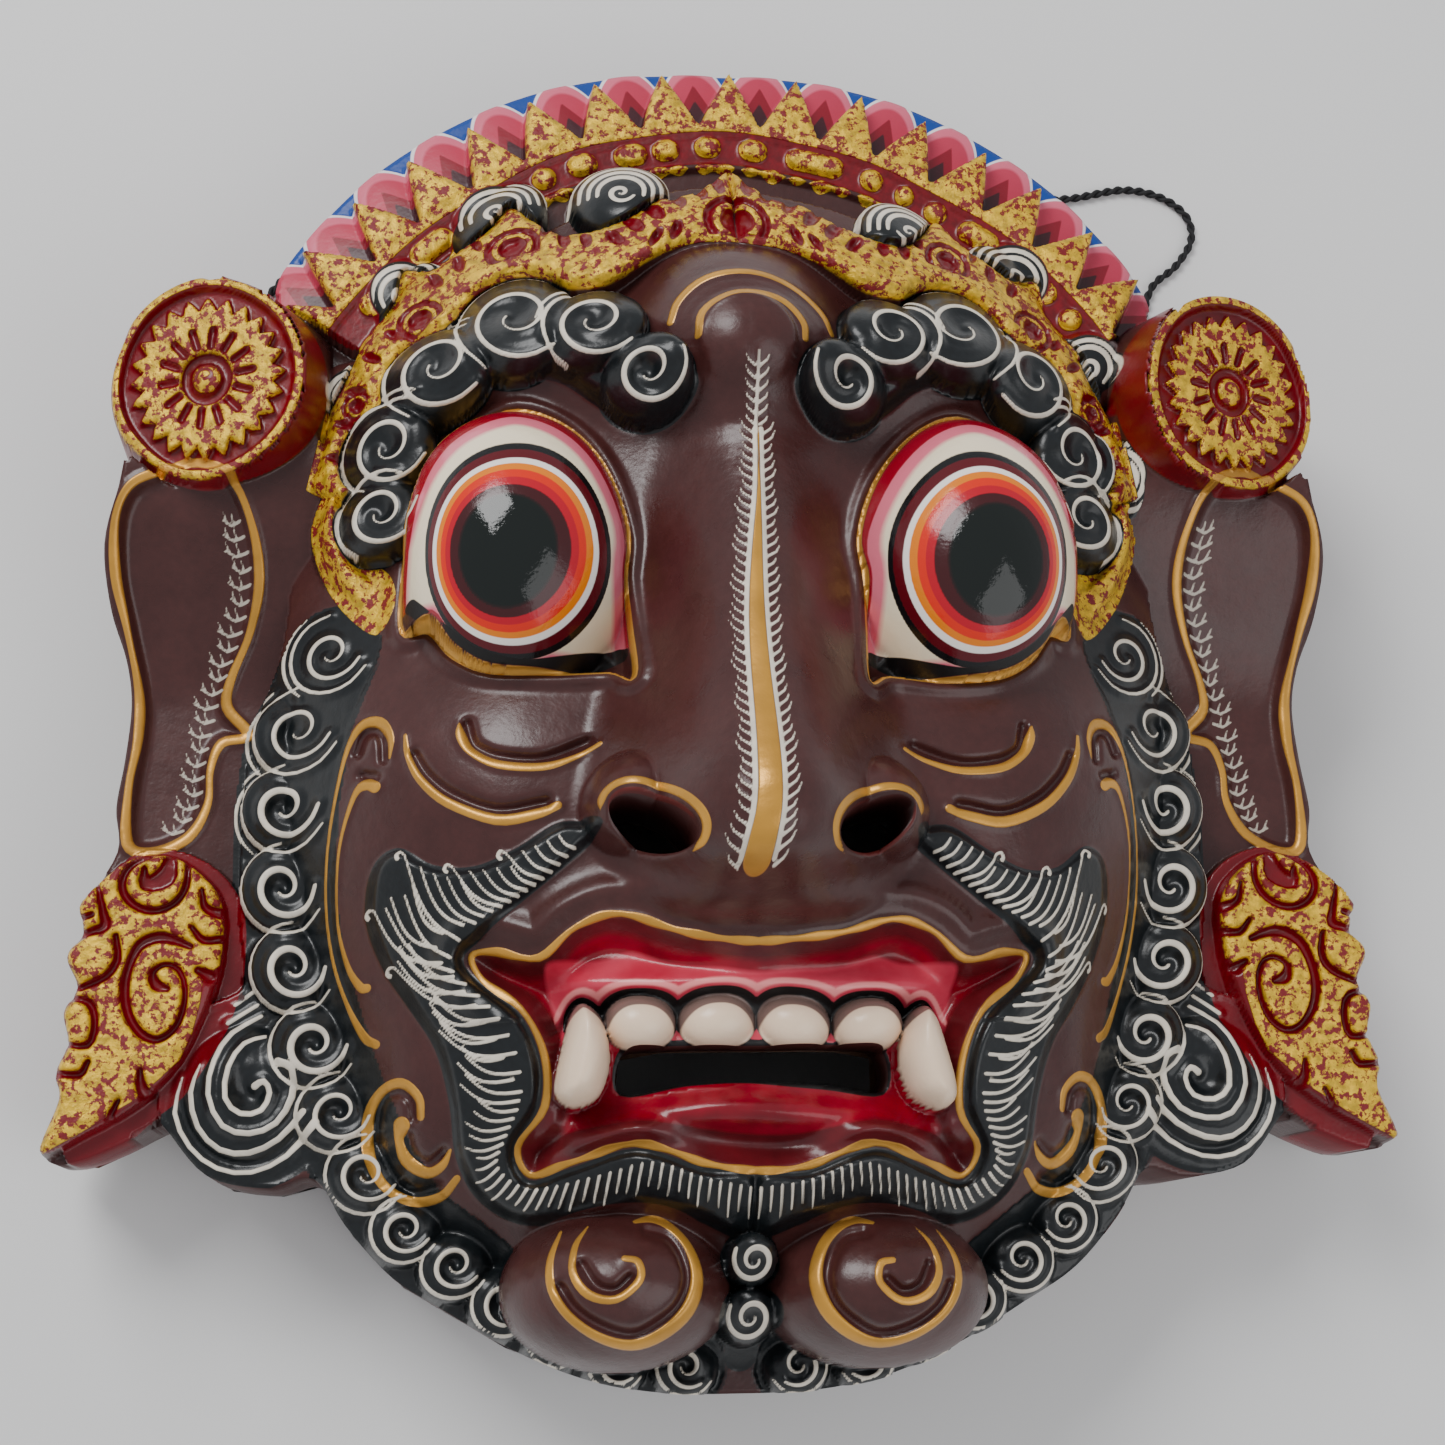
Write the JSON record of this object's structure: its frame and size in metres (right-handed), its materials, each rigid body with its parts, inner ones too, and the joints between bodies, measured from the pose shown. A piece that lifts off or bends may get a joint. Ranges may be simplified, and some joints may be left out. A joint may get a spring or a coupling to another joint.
{
  "type": "carved mask",
  "caption": "Hollow-backed carved and painted wooden demon king mask with crown, ear plugs, leaf pendants, open mouth with fangs, and a hanging cord.",
  "frame": {"origin": "middle of the mask's bounding box on the table that its back rim lies on, measured without the cord and its knots", "axes": "+Y towards the crown, +Z out of the face, +X towards the viewer's right when looking at the face"},
  "size_m": [0.2719, 0.2851, 0.1205],
  "materials": {
    "painted_wood": "satin paint with gold leaf on red",
    "cord": "twisted black cord"
  },
  "bodies": {
    "root": {"mask": "painted_wood", "hanging_cord": "cord", "knot_left": "cord", "knot_right": "cord"}
  },
  "joints": []
}
